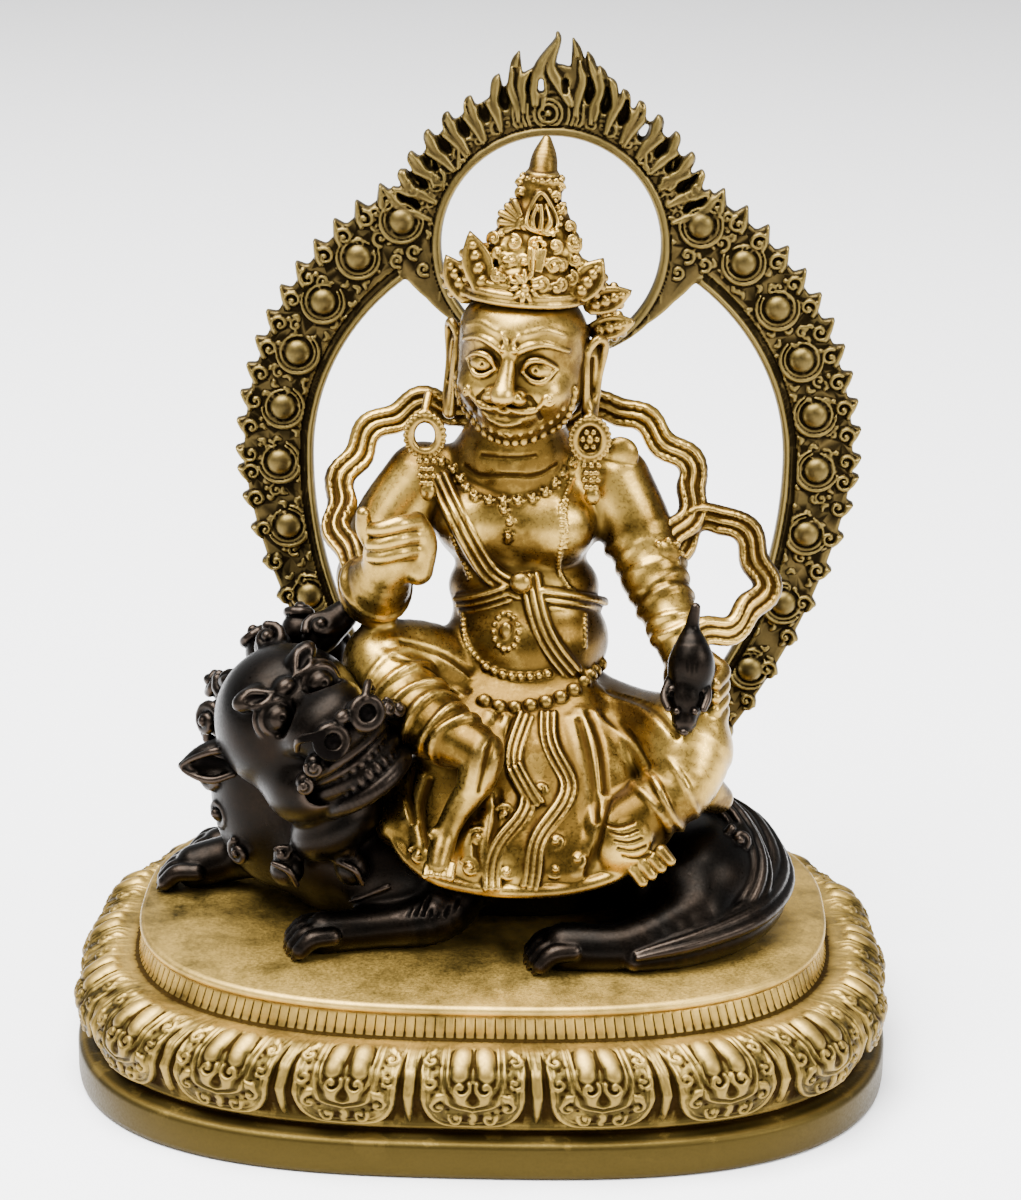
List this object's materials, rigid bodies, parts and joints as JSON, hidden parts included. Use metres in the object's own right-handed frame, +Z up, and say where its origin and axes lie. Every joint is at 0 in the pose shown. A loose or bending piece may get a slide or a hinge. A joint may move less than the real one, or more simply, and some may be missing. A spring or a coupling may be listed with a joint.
{
  "type": "kubera statue",
  "caption": "Gilt bronze Kubera holding a mongoose, seated on a dark bronze snow lion before a flaming aureole, on an oval lotus base",
  "frame": {"origin": "centre of the underside of the lotus base's bounding oval", "axes": "+Z up towards the aureole's tip, +X to the viewer's right, -Y towards the front, where the figure faces"},
  "size_m": [0.2706, 0.218, 0.33],
  "materials": {
    "base_brass": "worn gilt brass, brown in the recesses",
    "aureole_brass": "aged olive brown brass",
    "gilt_bronze": "worn parcel gilding over bronze",
    "dark_bronze": "near black patina, brown and grey where worn"
  },
  "bodies": {
    "root": {"lotus_base": "base_brass", "aureole": "aureole_brass", "snow_lion": "dark_bronze", "kubera_figure": "gilt_bronze", "mongoose": "dark_bronze"}
  },
  "joints": []
}
